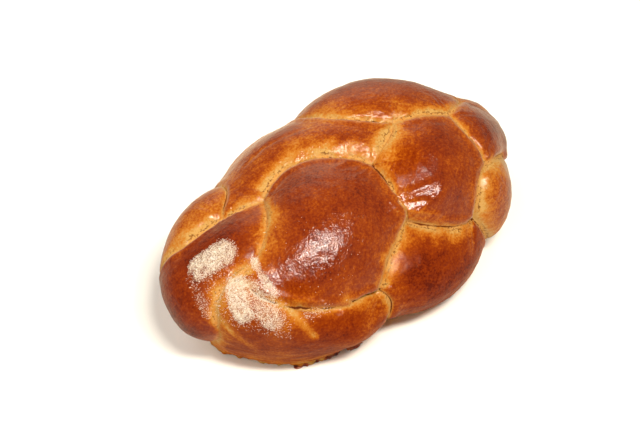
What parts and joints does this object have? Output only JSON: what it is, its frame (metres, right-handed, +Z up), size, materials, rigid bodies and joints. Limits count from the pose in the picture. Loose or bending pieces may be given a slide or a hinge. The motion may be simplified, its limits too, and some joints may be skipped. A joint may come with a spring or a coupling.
{
  "type": "braided loaf",
  "caption": "Plaited white loaf with an egg-washed, browned crust and swelling lobes, flat underneath, to serve whole or slice.",
  "frame": {"origin": "middle of the bounding box at its bottom, on the flat base", "axes": "+X along the loaf, away from the pointed end; +Z up; +Y across, to the side that has the high back lobe"},
  "size_m": [0.26, 0.1572, 0.0939],
  "materials": {
    "crust": "browned egg-washed crust, glossy on the lobes and pale in the creases"
  },
  "bodies": {
    "root": {"loaf": "crust"}
  },
  "joints": []
}
